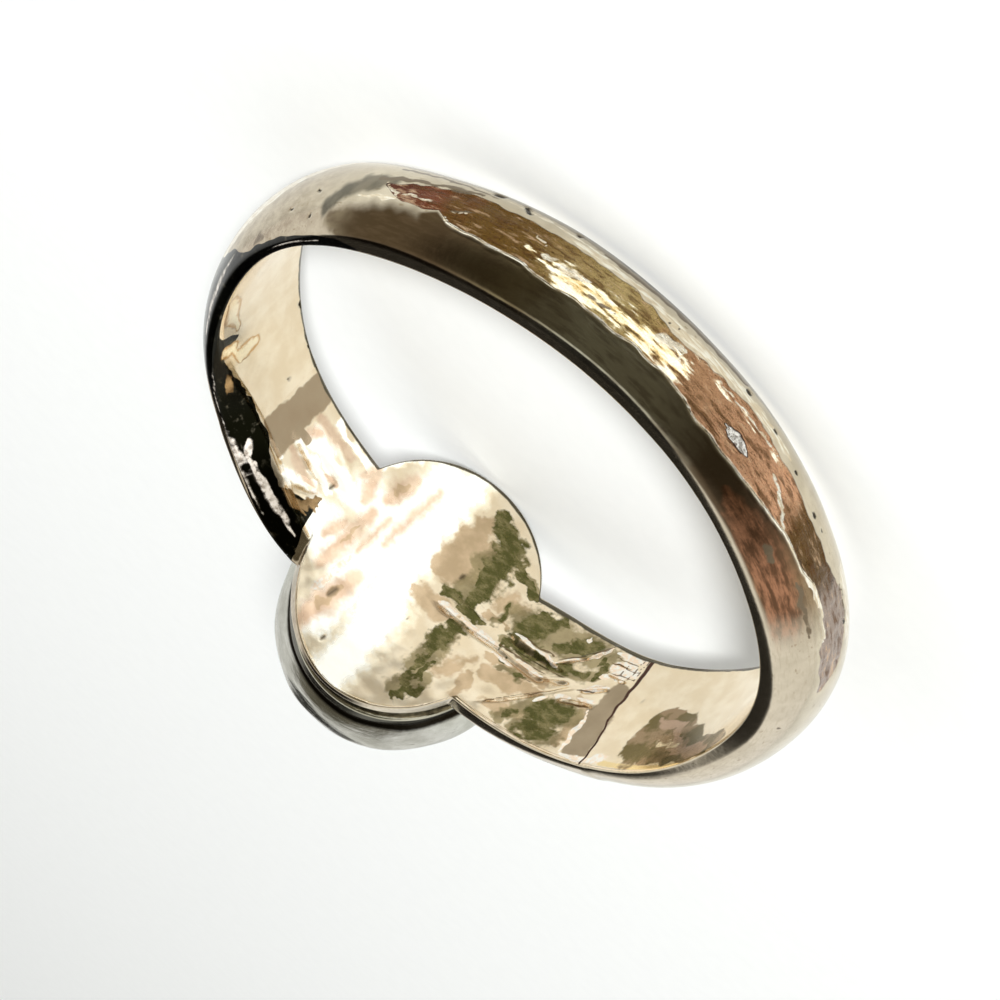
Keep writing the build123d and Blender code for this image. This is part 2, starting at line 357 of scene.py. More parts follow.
CREASES = [
    (-24.5, 1.7, -30, 0.95, 0.016), (-30, 0.95, -36.5, 0.1, 0.024), (-31, -0.6, -35.5, -1.08, 0.03),
    (-35.5, -1.15, -39.3, -1.8, 0.03), (-37, 0.62, -43, 0.42, 0.025), (-38, 0.05, -42, -0.1, 0.025),
    (-41, -0.92, -47, -0.88, 0.015), (-40.5, -1.22, -46.8, -1.2, 0.018),
    (-40.3, -1.44, -46, -1.42, 0.02), (-43.4, -0.7, -43.8, -1.5, 0.012),
    (-45.6, -0.6, -46, -1.7, 0.018), (-46.9, -0.6, -46.9, -1.7, 0.015), (-20, -0.08, -31, 0, 0.03),
    (-22, -0.74, -30, -0.62, 0.03), (-27, 0.5, -31, 0.42, 0.02),
]
GREY_STRIP = [(-46.9, 1.76, -46, 0.6, 0.42), (-46, 0.6, -46.1, -0.36, 0.33)]
SEAM_LINE = np.array([
    # height, angle
    [-1.8, -47.6], [-1.2, -47.9], [-0.7, -48.1], [0, -48.1], [0.6, -48.4], [1.2, -49.6], [2.1, -50],
])
FOLDS = [
    # angle, height, angle, height, half width, rise towards the finger
    (-5, -0.02, -21, 0, 0.13, 0.05), (-20, 0, -31, 0.22, 0.12, 0.07),
    (-30, 0.2, -36, -0.15, 0.11, 0.05), (-20, -0.62, -31, -0.42, 0.1, 0.06),
    (-21, -0.3, -34, -0.25, 0.1, -0.06), (-24.5, 1.7, -38, -0.05, 0.06, 0.045),
    (-31, -0.5, -36, -1.1, 0.08, 0.05), (-35, -1, -39.5, -1.8, 0.08, 0.05),
    (-36, 0.5, -43, 0.25, 0.13, 0.06), (-39, 0, -44, -0.4, 0.1, 0.06),
    (-41, -0.85, -47, -0.8, 0.07, 0.035), (-41, -1.3, -47, -1.25, 0.07, 0.035),
    (-33, 0.5, -36, 0, 0.12, -0.04), (-6, -0.45, -16, -0.35, 0.12, -0.03),
    (25, 0, 37, 0, 0.14, 0.05), (20, -0.5, 32, -0.6, 0.26, 0.05), (25, 0.35, 33, 1, 0.14, 0.05),
    (17, -2, 22, -1.2, 0.14, 0.03),
]
BEVEL_DEPTH, SIGHT_SLOPE = 0.6, 0.56
DARK_EDGE = np.array([
    # angle, height: what stands over this line on the left strap is the bevel, painted near black as a
    # dark reflection
    [18, 3], [21.5, 1.8], [22.6, 1.5], [23.8, 0.42], [26, 0.8], [31, 1.2], [34, 1.28], [36, 1.2],
    [40, 0.9], [42, 0.78], [51, 0.85], [55, 1], [60, 1.25], [63, 1.42], [66.2, 1.65], [66.9, 0.85],
    [67.7, 0.75], [70, 1.3], [73, 1.7], [79, 1.95], [86, 3],
])
BEVEL_GLINTS = [
    (44.5, 1.48, 42, 1.66, 0.15), (43, 1.76, 23, 1.78, 0.11, 0.9), (40, 1.64, 25, 1.66, 0.06),
    (66, 2.1, 24, 2.22, 0.06, 0.7), (54, 1.96, 36, 2.02, 0.03, 0.8),
]
FLANK = np.array([
    # angle, how deep the painted dark reflection goes on the near side, from the finger outwards
    [60, 0.5], [66, 0.95], [72, 1.04], [84, 1], [90, 0.82], [96, 0.5], [104, 0.42], [126, 0.42],
    [130, 0.2],
])
FLANK_GLINTS = [
    # angle, depth, angle, depth
    (92, 0.66, 71, 0.5, 0.085, 0.62), (121, 0.26, 104, 0.22, 0.02), (84, 0.92, 70, 0.86, 0.02, 0.7),
    (136, 0.62, 158, 0.62, 0.03), (158, 0.62, 178, 0.72, 0.03), (178, 0.72, 201, 0.48, 0.03),
    (201, 0.48, 228, 0.4, 0.03), (131, 0.2, 166, 0.2, 0.018), (172, 0.24, 188, 0.2, 0.014),
    (204, 0.14, 243, 0.16, 0.018),
]
BROWN_MARKS = [
    (31, 1.2, 24.5, 1.16, 0.11), (27.5, 1.05, 24.2, 0.78, 0.17), (25, 0.8, 23.8, 0.5, 0.09),
    (61.5, 1.52, 57, 1.46, 0.2, 0.85),
]
# Painted light and shade on lumps of the left strap: a cream painted highlight in the middle, painted
# brown shade round its edge.
LUMPS = [
    (80.5, 1.18, 73.5, 1.02, 0.26), (75, 0.98, 69.5, 0.82, 0.1), (66.4, 1.5, 65.6, 0.95, 0.17),
    (65.6, 1.1, 61, 0.84, 0.1), (62.4, 0.8, 61.6, 0.16, 0.2),
]
SWIRL = [
    (-60, 1.5, -60.5, 0.4, 0.52), (-62, 0.2, -66, 0.3, 0.42), (-66, 0.6, -72, 0.9, 0.4),
    (-72, 1.15, -84, 1.4, 0.32), (-60, 1.55, -80, 1.7, 0.28),
]
SWIRL_CORE = [
    (-61, 0.35, -66, 0.4, 0.22), (-66, 0.7, -69, 1.1, 0.18), (-70, 1.4, -80, 1.55, 0.22),
]
# A painted highlight, yellow gold, along the inner face's near edge right of the seam.
GOLD_EDGE = [(-54, 2.08, -84, 2.02, 0.09)]
INNER_PITS = [
    (-52.2, -0.33, -52.2, -0.36, 0.035), (47.3, -0.6, 47.2, -0.64, 0.045),
    (5.7, 3.25, 5.6, 3.1, 0.05), (10.3, 2.15, 9.9, 1.85, 0.08, 0.9), (60, -1.76, 59, -1.78, 0.06),
    (49.5, -1.66, 49, -1.68, 0.04), (24, -0.02, 23.8, -0.16, 0.05), (-3.6, 1, -3.6, 0.98, 0.02),
    (-6, -1.05, -6.2, -1.2, 0.05),
]


def wandered(arc, height, seed):
    """How far a stroke's outline wanders at each point: waves of a half and a fifth of a
    millimetre, as two lengths."""
    return [0.055 * ripples(arc, height, 0.55, draw) + 0.022 * ripples(arc, height, 0.2, draw + 5)
            for draw in (seed, seed + 1)]


def seam_angle(height):
    """Where the seam runs at each height, with a small wave in it."""
    line = np.interp(height, SEAM_LINE[:, 0], SEAM_LINE[:, 1])
    return line + 0.18 * ripples(height, height * 0, 0.7, 92)


def sheared(angle, height):
    """The angles near the right joint moved so that the joint runs along the seam, by an
    amount that fades out six degrees from it."""
    return angle + (seam_angle(height) - RIGHT_JOINT) * ease(6, 0, np.abs(angle - RIGHT_JOINT))


def inner_fields(angle, height, radius, inside, far_gap):
    """The painted light and marks of the inner face. The bevel on the left strap leans outwards,
    so its points are slid back to the finger's radius along the slope it is looked at. A
    stroke's outline wanders in full in `place`, by about two fifths in `half`, and not at all
    in `true`."""
    depth = radius - FINGER_R
    bevel = (height > 0) * ease(0.64, 0.56, depth) * ease(17, 20, angle) * ease(88, 80, angle)
    around = np.mod(angle, 360)
    near_side = (height > 0.3) * (1 - inside)
    reach = np.interp(around, FLANK[:, 0], FLANK[:, 1], left=-1, right=-1)
    reach = reach + 0.014 * ripples(angle * 0.15, depth * 0, 0.9, 43)
    flank = np.clip(0.5 + (reach - depth) * 14, 0, 1) * near_side
    flank_glint = strokes(around, depth, 9.0, FLANK_GLINTS, 0.6) * near_side
    on_strap = (angle > 15) & (angle < 80) & (height > 0)
    lean = np.where(on_strap, np.minimum(depth, BEVEL_DEPTH), 0)
    turn = np.radians(np.clip(angle, -80, 80))
    height = height + SIGHT_SLOPE * lean / np.cos(turn)
    angle = angle + np.degrees(np.tan(turn) * lean / FINGER_R)
    arc = angle * FINGER_DEGREE
    here = np.maximum(inside, bevel)
    # Over this edge the left strap's bevel is painted near black, a painted dark reflection; so is the
    # near side's flank.
    edge = np.interp(angle, DARK_EDGE[:, 0], DARK_EDGE[:, 1])
    edge = edge + 0.03 * ripples(arc, height * 0, 0.5, 41)
    dark = np.clip(0.5 + (height - edge) * 4, 0, 1) * here
    dark = dark * ease(17, 21, angle) * ease(88, 84, angle)
    # Painted shade in a line along the inner face's far edge.
    far_line = np.clip(1 - far_gap / 0.15, 0, 1) * ease(0.35, 0.2, depth) * (height < 0)
    far_line = far_line * ease(84, 78, np.abs(angle))
    seam = np.abs(angle - seam_angle(height)) * FINGER_DEGREE
    seam_width = np.interp(height, [-1.8, -0.7, 0.5, 2.1], [0.070, 0.055, 0.035, 0.03])
    side, up = wandered(arc, height, 61)
    true = (angle, height, FINGER_R)
    place = (angle + side / FINGER_DEGREE, height + up, FINGER_R)
    half = (angle + side / 0.4, height + up * 0.4, FINGER_R)
    stains = {
        "bright": (place, PAINTED_HIGHLIGHTS, 0), "blush": (half, BLUSH, 0.4), "dulled": (place, PAINTED_TAN_REFLECTIONS, 0.4),
        "murk": (place, PAINTED_MURKY_REFLECTIONS, 0.2), "shadowed": (half, SHADOWED, 0), "olive": (place, OLIVE, 0.3),
        "glints": (half, GLINTS, 0.7), "creases": (half, CREASES, 0.4),
        "strip": (half, GREY_STRIP, 0), "swirl": (place, SWIRL, 0),
        "core": (place, SWIRL_CORE, 0.3), "inner_pit": (true, INNER_PITS, 0.3),
    }
    return {
        **{name: strokes(*at, rows, taper) * inside for name, (at, rows, taper) in stains.items()},
        "seam": np.clip(1 - seam / (2 * seam_width), 0, 1) * inside,
        "dark": np.maximum(flank, dark),
        "glint": np.maximum(flank_glint, strokes(*half, BEVEL_GLINTS, 0.6) * here),
        "rust": strokes(*place, BROWN_MARKS, 0.4) * here,
        "lump": strokes(*half, LUMPS, 0.3) * here,
        "gold_edge": strokes(*true, GOLD_EDGE) * here,
        "far_line": far_line,
    }


class Value:
    """A number socket of a finish. Arithmetic on it adds Math nodes."""

    def __init__(self, finish, socket):
        self.finish, self.socket = finish, socket

    def math(self, operation, a, b):
        """A Math node on two numbers or sockets."""
        return self.finish.add("ShaderNodeMath", {"operation": operation}, {0: a, 1: b})

    def __add__(self, other):
        return self.math("ADD", self, other)

    __radd__ = __add__

    def __sub__(self, other):
        return self.math("SUBTRACT", self, other)

    def __rsub__(self, other):
        return self.math("SUBTRACT", other, self)

    def __mul__(self, other):
        return self.math("MULTIPLY", self, other)

    __rmul__ = __mul__


def tint(red, green, blue):
    """A colour as the eye reads it, 0 to 255, turned into the light it stands for."""
    return (*((np.array([red, green, blue]) / 255) ** 2.2).tolist(), 1)


class Finish:
    """A material of one Principled shader, and the one way its nodes are added."""

    def __init__(self, name, **sockets):
        self.material = bpy.data.materials.new(name)
        self.material.use_nodes = True
        self.tree = self.material.node_tree
        self.shader = self.tree.nodes["Principled BSDF"]
        for socket, value in sockets.items():
            self.set(socket.replace("_", " "), value)

    def set(self, socket, value):
        """Gives a socket of the shader a number, a colour or a link."""
        self.join(self.shader.inputs[socket], value)

    def join(self, target, value):
        """Links a Value to the target socket, or sets the socket to what else is given."""
        if isinstance(value, Value):
            self.tree.links.new(value.socket, target)
        else:
            target.default_value = value

    def add(self, kind, settings, sockets, out=0):
        """Any node: its settings come first, a ramp's stops among them, then its sockets."""
        node = self.tree.nodes.new(kind)
        for name, value in settings.items():
            if name == "stops":
                ramp = node.color_ramp.elements
                while len(ramp) < len(value):
                    ramp.new(0.5)
                for stop, (at, colour) in zip(ramp, value):
                    stop.position, stop.color = at, colour
            else:
                setattr(node, name, value)
        for name, value in sockets.items():
            self.join(node.inputs[name], value)
        return Value(self, node.outputs[out])

    def field(self, name):
        """A field of the mesh, one number for each point."""
        return self.add("ShaderNodeAttribute", {"attribute_name": name}, {}, out=2)

    def noise(self, scale, detail=3.0, rough=0.55, turn=0.0, shift=0.0):
        """Noise from 0 to 1 over the piece's own place, with `scale` lumps to the millimetre
        round the finger and across, turned by this many degrees."""
        place = self.add("ShaderNodeAttribute", {"attribute_name": "place"}, {}, out=1)
        sized = self.add("ShaderNodeMapping", {}, {
            "Vector": place, "Location": (shift, shift, shift),
            "Rotation": (0, 0, math.radians(turn)), "Scale": scale,
        })
        return self.add("ShaderNodeTexNoise", {}, {
            "Vector": sized, "Scale": 1.0, "Detail": detail, "Roughness": rough,
        })

    def sharpen(self, value, low, high):
        """0 below low and 1 above high, with a smooth S between them."""
        return self.add("ShaderNodeMapRange", {"interpolation_type": "SMOOTHSTEP"},
                        {"Value": value, "From Min": low, "From Max": high})

    def mix(self, amount, a, b):
        """From colour a to colour b."""
        return self.add("ShaderNodeMix", {"data_type": "RGBA"}, {"Factor": amount, 6: a, 7: b}, out=2)

    def two_tone(self, pattern, low, high, first, second):
        """From the first tint to the second as the pattern goes from low to high."""
        return self.mix(self.sharpen(pattern, low, high), tint(*first), tint(*second))

    def coats(self, colour, rows):
        """Coats over a colour, from the lowest up: each row is where it lies and its colour."""
        for where, over in rows:
            colour = self.mix(where, colour, over)
        return colour

    def ramp(self, value, stops):
        """A colour for each value, between stops of a value, red, green and blue."""
        tints = [(at, tint(*colour)) for at, *colour in stops]
        return self.add("ShaderNodeValToRGB", {"stops": tints}, {0: value})

    def bump(self, height, millimetres, below=None):
        """A Bump node: `height` from 0 to 1 stands this many millimetres high."""
        sockets = {"Height": height, "Distance": millimetres / 1000, "Strength": 1.0}
        if below:
            sockets["Normal"] = below
        return self.add("ShaderNodeBump", {}, sockets)


# The rows stand twice as close over the plate, and the inner face stands back from the
# finger, to leave its folds room.
SETTING_ROWS, SETTING_INNER, SETTING_CROWN = 440, 118, 16
STAND_BACK, FOLD_BASE, HAMMERED, DENTED, WAVY = 0.06, 0.012, 0.006, 0.0025, 0.003
STRIP_DEPTH, SETTING_PIT = 0.04, 0.02
even = RIGHT_JOINT + (LEFT_JOINT - RIGHT_JOINT) * np.linspace(0, 1, 1001)
closeness = np.interp(even, [-26, -23, 23, 26], [1, 2, 2, 1])
packed = np.cumsum(closeness) - closeness[0]
setting_deg = np.interp(np.linspace(0, packed[-1], SETTING_ROWS), packed, even)
radius, height, far_gap = ring_grid(setting_deg, SETTING_INNER, SETTING_CROWN)
angle = sheared(np.broadcast_to(setting_deg[:, None], radius.shape), height)
inside = ease(0.10, 0.02, radius - FINGER_R)
arc = angle * math.radians(1) * FINGER_R
fields = inner_fields(angle, height, radius, inside, far_gap)
joint = ease(0, JOINT_FADE, np.minimum(setting_deg - RIGHT_JOINT, LEFT_JOINT - setting_deg))[:, None]
calm = 1 - 0.75 * ease(0.4, 0.7, fields["bright"]) * ease(9, 5, angle)
relief = ripples(arc, height, 1.6, 3) * HAMMERED + ripples(arc, height, 0.7, 5) * DENTED
waves = np.sin((arc * 0.95 + height * 0.45 + 0.25 * ripples(arc, height, 2.2, 8)) * math.tau / 0.75)
relief = relief + waves * WAVY * ease(0.6, 1.3, arc) * ease(3.6, 2.6, arc)
relief = folds(angle, height, FOLDS) - relief * calm * ease(40, 34, angle) + FOLD_BASE
relief = relief - STRIP_DEPTH * ease(0.35, 0.6, fields["strip"])
relief = relief - SETTING_PIT * ease(0.3, 0.6, fields["inner_pit"])
points = round_finger(angle, radius, height)
points = pressed(points, (relief * joint - STAND_BACK) * inside)
setting = grid_piece("back_plate_and_straps", points, (arc, height, radius), {
    **fields, "inside": inside, "worn": -1, "angle": np.mod(angle, 360) / 360,
})

# One finish for the plate, the straps and the wire: an old, low gold alloy, champagne where
# it is clean, with painted highlights, painted reflections, marks, and coppery metal where its skin
# has gone.
gold = Finish("old low gold")
lump = gold.noise((1.5, 1.5, 1.5), 4)
fine = gold.noise((7, 7, 7), 3, shift=3)
brushed = gold.noise((2.5, 14, 14), 3, turn=24, shift=7)
crumpled = gold.noise((2.6, 4.5, 4.5), 5, rough=0.65, turn=-25, shift=13)
streaks = gold.noise((1.3, 6.5, 6.5), 5, rough=0.65, turn=-14, shift=31)
ragged = (lump - 0.5) * 0.7 + (fine - 0.5) * 0.5


def layer(field, low, high, wander=0.6):
    """Where a field of strokes is over about a half, with its edge made ragged by noise."""
    return gold.sharpen(gold.field(field) + ragged * wander, low, high)


# The inner face, from clean gold up through painted highlights and reflections to the bevel painted
# near black and its painted glints
swirl = layer("swirl", 0.44, 0.54, 0.3)
painted_olive_reflection = layer("olive", 0.32, 0.6, 1.1)
# The bevel and the near flank painted near black, a painted dark reflection.
black = layer("dark", 0.45, 0.58, 0.15)
shine = layer("glint", 0.28, 0.66, 0.7)
inner = gold.coats(gold.two_tone(lump, 0.35, 0.7, (240, 221, 189), (252, 237, 210)), [
    # painted highlights, then painted reflections in pinkish tan, tan and dim olive
    (layer("bright", 0.3, 0.5), tint(255, 242, 214)),
    (layer("bright", 0.44, 0.72), tint(255, 254, 244)),
    (layer("blush", 0.14, 0.8, 1.0),
     gold.two_tone(lump, 0.35, 0.65, (216, 186, 158), (240, 214, 186))),
    (layer("dulled", 0.3, 0.62, 0.9) * 0.9,
     gold.two_tone(lump, 0.35, 0.65, (190, 164, 130), (216, 188, 152))),
    (layer("murk", 0.3, 0.64, 0.9) * 0.9,
     gold.two_tone(lump, 0.35, 0.65, (128, 116, 84), (166, 150, 112))),
    (layer("shadowed", 0.44, 0.52, 0.15), gold.mix(lump, tint(160, 138, 112), tint(180, 164, 138))),
    # a painted highlight along the near edge right of the seam
    (layer("gold_edge", 0.3, 0.7) * 0.8, tint(240, 212, 150)),
    (swirl, gold.two_tone(lump, 0.45, 0.6, (118, 104, 68), (162, 138, 108))),
    (swirl * layer("core", 0.4, 0.6), tint(188, 160, 136)),
    (layer("strip", 0.42, 0.54, 0.3), gold.mix(lump, tint(144, 128, 104), tint(188, 170, 144))),
    # painted olive reflections, then painted highlights on the fold ridges
    (painted_olive_reflection, gold.two_tone(crumpled, 0.42, 0.68, (94, 92, 56), (140, 130, 92))),
    (layer("glints", 0.36, 0.6), gold.two_tone(fine, 0.4, 0.6, (255, 232, 206), (255, 250, 240))),
    (layer("creases", 0.36, 0.6, 0.3) * 0.85, tint(104, 84, 60)),
    (gold.field("inner_pit"), tint(90, 78, 62)),
    (gold.sharpen(gold.field("seam") + (fine - 0.5) * 0.3, 0.35, 0.6), tint(84, 62, 54)),
    # painted shade round the lumps, the bevel painted near black as a dark reflection, brown marks,
    # painted highlights on the lumps and the bevel, and a painted shade line at the far edge
    (layer("lump", 0.12, 0.26, 0.3) * gold.sharpen(lump, 0.4, 0.6) * 0.9, tint(160, 126, 84)),
    (black, gold.two_tone(crumpled, 0.56, 0.72, (26, 26, 18), (92, 88, 74))),
    (layer("rust", 0.36, 0.6), gold.two_tone(lump, 0.35, 0.65, (104, 82, 54), (176, 146, 106))),
    (layer("lump", 0.26, 0.4, 0.3),
     gold.mix(layer("lump", 0.36, 0.74, 1.3), tint(208, 166, 114), tint(255, 240, 206))),
    (shine, gold.two_tone(fine, 0.3, 0.6, (176, 164, 150), (255, 246, 234))),
    (gold.sharpen(gold.field("far_line") + (lump - 0.5), 0.55, 0.85), tint(92, 86, 72)),
])

# The bare metal of the worn patch, the painted dark reflection along its near side, and the old skin
# round both
# Yellow gold with cream painted highlights in the worn patch.
gilt = gold.sharpen(gold.field("gilt") * 0.38 - streaks, -0.32, -0.18)
bare = layer("worn", -0.01, 0.02, 0.03)
mauve = gold.sharpen(gold.field("angle") + (lump - 0.5) * 0.01, 0.632, 0.64)
left = gold.sharpen(gold.field("angle"), 0.37, 0.30)
flecks = gold.sharpen(gold.noise((4, 9, 9), 2, turn=20, shift=17), 0.66, 0.72)
under = gold.coats(gold.ramp(gold.field("angle") + (lump - 0.5) * 0.035, [
    (0.37, 92, 50, 38), (0.395, 124, 74, 50), (0.412, 110, 82, 42), (0.44, 118, 90, 48),
    (0.455, 152, 126, 80), (0.48, 184, 162, 110), (0.503, 176, 150, 98), (0.516, 180, 138, 102),
    (0.56, 192, 146, 112), (0.588, 222, 170, 132), (0.6, 108, 82, 50), (0.628, 100, 78, 50),
    (0.64, 156, 140, 128), (0.7, 168, 152, 142),
]), [
    (gold.sharpen(streaks, 0.5, 0.62) * 0.75, gold.mix(fine, tint(76, 50, 30), tint(120, 88, 54))),
    (gold.sharpen(streaks, 0.46, 0.34) * 0.6, tint(220, 184, 146)),
    (gilt, gold.two_tone(streaks, 0.4, 0.58, (255, 250, 222), (226, 194, 128))),
])
near = gold.coats(gold.ramp(gold.field("angle") + (lump - 0.5) * 0.03, [
    (0.34, 140, 126, 100), (0.365, 78, 64, 44), (0.41, 80, 66, 48), (0.45, 128, 116, 88),
    (0.48, 178, 174, 152), (0.52, 170, 164, 142), (0.55, 104, 92, 74), (0.595, 86, 66, 50),
    (0.625, 140, 116, 86), (0.67, 204, 190, 164),
]), [
    (gold.sharpen(streaks, 0.44, 0.64) * 0.5, tint(96, 80, 60)),
    # a warm painted reflection within the dark one
    (layer("copper", 0.05, 0.75, 0.5),
     gold.two_tone(streaks, 0.36, 0.62, (172, 124, 94), (104, 76, 56))),
])
outer = gold.coats(gold.two_tone(lump, 0.3, 0.7, (200, 188, 164), (216, 204, 180)), [
    (left * 0.9, gold.two_tone(crumpled, 0.32, 0.66, (156, 139, 114), (194, 180, 155))),
    (gold.sharpen(brushed, 0.5, 0.66) * 0.35, tint(186, 172, 146)),
    (flecks * 0.6, tint(160, 142, 112)),
    # the near half painted dark, a painted dark reflection, with a warm painted reflection in it
    (gold.sharpen(gold.field("near") + (lump - 0.5) * 0.25, 0.15, 0.75), near),
    (layer("smoke", 0.15, 0.7, 0.3) * 0.9,
     gold.two_tone(lump, 0.35, 0.65, (84, 80, 66), (118, 110, 92))),
    # painted shade towards the far edge
    (layer("far_rim", 0.42, 0.6, 0.5), gold.mix(lump, tint(120, 110, 92), tint(172, 160, 140))),
    (bare, under),
    (layer("shade", 0.34, 0.66), tint(122, 108, 88)),
    (layer("silver", 0.24, 0.34, 0.2), tint(80, 60, 50)),
    (layer("silver", 0.44, 0.52, 0.3),
     gold.two_tone(fine, 0.4, 0.55, (170, 164, 156), (255, 252, 246))),
    # painted highlights on the far half and the worn patch's rim, then a painted shade line at the far
    # edge
    (layer("cream", 0.36, 0.62), gold.two_tone(brushed, 0.35, 0.6, (255, 250, 234), (222, 206, 176))),
    (layer("far_rim", 0.78, 0.9, 0.3), tint(70, 64, 52)),
    (gold.sharpen(gold.field("pit"), 0.3, 0.6), tint(66, 60, 50)),
])
gold.set("Base Color", gold.mix(gold.sharpen(gold.field("inside") + black, 0.2, 0.6), outer, inner))
# The metal is made less metallic under the painted highlights and glints, so they stay light.
painted_highlight_mask = gold.sharpen(gold.field("bright"), 0.3, 0.8)
gold.set("Metallic", 1 - black * shine * 0.35 - bare * gilt * 0.4 - painted_highlight_mask * 0.35)
gold.set("Roughness", 0.13 + fine * 0.08 + bare * 0.10 + painted_olive_reflection * 0.1)
skin = gold.bump(lump, 0.006, gold.bump(fine, 0.002))
gold.set("Normal", gold.bump(streaks * bare * (1 - mauve), 0.10, skin))
setting.data.materials.append(gold.material)
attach(setting, "root")
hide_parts("band_with_setting")

# The shank is D-section wire bent round the finger and soldered to the two straps. Along
# the crown its pale skin is worn through to brown and coppery metal, with a thin raised
# edge left round the worn patch.
SHANK_ROWS, SHANK_INNER, SHANK_CROWN = 700, 34, 50
# The crown's radius for lengths along it, and the mean one for the strokes on it
CROWN_R, STROKE_R = 9.8, 9.75
RIM_WIDTH, RIM_RISE, RIM_FROM, RIM_TO = 0.07, 0.030, 146, 238
WORN_DEPTH, PIT_DEPTH, SHANK_PIT, CROWN_BACK = 0.035, 0.05, 0.04, 0.02
WORN_EDGE = np.array([
    # angle, near edge, far edge
    [133, 0.32, 0.28], [135.5, 0.58, 0.22], [138, 0.74, 0.12], [142, 0.8, -0.02],
    [144.5, 0.68, -0.12], [147, 0.9, -0.28], [150, 0.98, -0.25], [153, 0.94, -0.2],
    [157, 0.96, -0.3], [160, 0.9, -0.25], [162.5, 1.01, -0.28], [166, 0.99, -0.3],
    [170, 0.96, -0.28], [175, 1.02, -0.3], [179, 0.97, -0.16], [184, 0.94, 0], [188, 0.99, -0.1],
    [192, 1.06, -0.18], [198, 1.07, -0.28], [204, 1.04, -0.2], [210, 0.97, -0.12],
    [215, 0.9, -0.02], [220, 0.83, -0.02], [225, 0.72, 0], [228.5, 0.6, -0.1], [232, 0.62, -0.24],
    [237, 0.66, -0.24], [240, 0.82, -0.18], [243, 0.85, -0.08], [247, 0.78, 0.15],
    [249.5, 0.74, 0.5], [251, 0.72, 0.7],
])
# Where the near half's painted dark reflection starts, tapering to a tip.
NEAR_TIP = [
    (124.4, 1.3, 142, 1.36, 0.26), (132, 1.34, 147, 1.34, 0.42), (127, 1.58, 148, 1.66, 0.34),
]
# A warm, coppery painted reflection in the near half.
WARM_REFLECTION = [(204, 1.42, 241, 1.56, 0.34), (214, 1.34, 230, 1.36, 0.16, 0.9)]
SMOKE = [
    (122.6, 0.95, 126.2, 0.56, 0.2), (125.6, 0.56, 131.5, 0.28, 0.22),
    (128.5, 0.16, 134, 0.16, 0.16),
]
SMUDGES = [
    (131, 0.13, 140, -0.08, 0.09), (140, -0.08, 148, -0.32, 0.09),
    (100, 1.2, 103.5, 1.15, 0.16, 0.9), (109.7, 1.28, 110.4, 1.26, 0.07, 0.9),
    (107, -0.28, 109.5, -0.36, 0.08, 0.9), (95, -1.42, 98, -1.5, 0.07, 0.9),
    (224, 1.06, 235.5, 1.06, 0.06), (168, -0.7, 196, -0.78, 0.07),
    (132, -0.5, 150, -0.48, 0.08, 0.8), (231, -0.26, 239.5, -0.26, 0.03),
    (252, -1.25, 266, -1.22, 0.2), (260.2, 1.36, 260.8, 1.34, 0.04), (146, 0.56, 149.6, 0.33, 0.03),
    (170, 0.7, 175, 0.6, 0.04), (215.5, 1.3, 219, 1.34, 0.1, 0.9),
]
# Painted highlights, cream, mostly along the far half; the worn patch's raised rim takes them too.
CREAM = [
    (163, -0.42, 179, -0.44, 0.12), (178, -0.36, 186, -0.2, 0.16), (184, -0.28, 195, -0.44, 0.2),
    (193, -0.48, 208, -0.42, 0.14), (129, 0.76, 137, 0.73, 0.05), (133, 0.24, 136.8, 0.66, 0.04),
    (161.4, 0.5, 163.6, 0.38, 0.07), (164, 0.52, 169.5, 0.38, 0.1), (158.4, 0, 161.2, 0.24, 0.03),
    (181, 0.36, 185.4, 0.1, 0.15), (186.4, 0.52, 185.2, 0.06, 0.04),
    (168.5, -0.6, 150, -0.6, 0.05, 0.8), (207, 0.3, 215, 0.78, 0.06, 0.9),
    (192, -0.04, 206, -0.12, 0.035), (135.6, 0.5, 144, 0.5, 0.03), (145.6, 0.62, 149.6, 0.4, 0.02),
    (230, -0.55, 258, -0.75, 0.34), (83, 0.75, 120, -1.25, 0.3, 0.9), (224, 0.74, 231, 0.68, 0.05),
]
# Where the worn patch's yellow gold carries cream painted highlights.
GILT_AND_SPARKLE = [
    (166, 0.66, 186, 0.56, 0.34), (160, 0.52, 168, 0.56, 0.14, 0.8),
    (190, 0.05, 206, 0.05, 0.1, 0.6),
]
SILVER_SPOT = [(196.6, 0.61, 202.6, 0.63, 0.11)]
PITS = [
    (149, -0.68, 149.6, -0.7, 0.09), (154, -0.72, 155.4, -0.5, 0.05),
    (163, -0.8, 163.1, -0.76, 0.05), (196.4, -0.66, 196.8, -0.66, 0.07),
    (203.4, -0.56, 203.7, -0.56, 0.06), (210, -0.36, 210.4, -0.36, 0.05),
    (217.2, -0.22, 217.7, -0.22, 0.06), (220.5, -0.26, 220.8, -0.26, 0.04),
    (181.2, -0.22, 181.3, -0.22, 0.03), (182.8, -0.3, 182.9, -0.31, 0.03),
    (111, 0.72, 112.2, 0.78, 0.025), (117.6, 0.38, 118.4, 0.46, 0.03),
    (118, 1.12, 118.6, 1.1, 0.03), (238.6, -0.24, 239.3, -0.22, 0.05),
    (247.6, -1.16, 249, -1.14, 0.04),
]
shank_deg = np.linspace(LEFT_JOINT, 360 + RIGHT_JOINT, SHANK_ROWS)
radius, height, far_gap = ring_grid(shank_deg, SHANK_INNER, SHANK_CROWN)
angle = np.broadcast_to(shank_deg[:, None], radius.shape)
from_setting = sheared(np.where(angle > 180, angle - 360, angle), height)
angle = np.mod(from_setting, 360)
arc = angle * math.radians(1) * CROWN_R
inside = ease(0.10, 0.02, radius - FINGER_R)
outside = ease(0.35, 0.6, radius - FINGER_R)
fields = inner_fields(from_setting, height, radius, inside, far_gap)
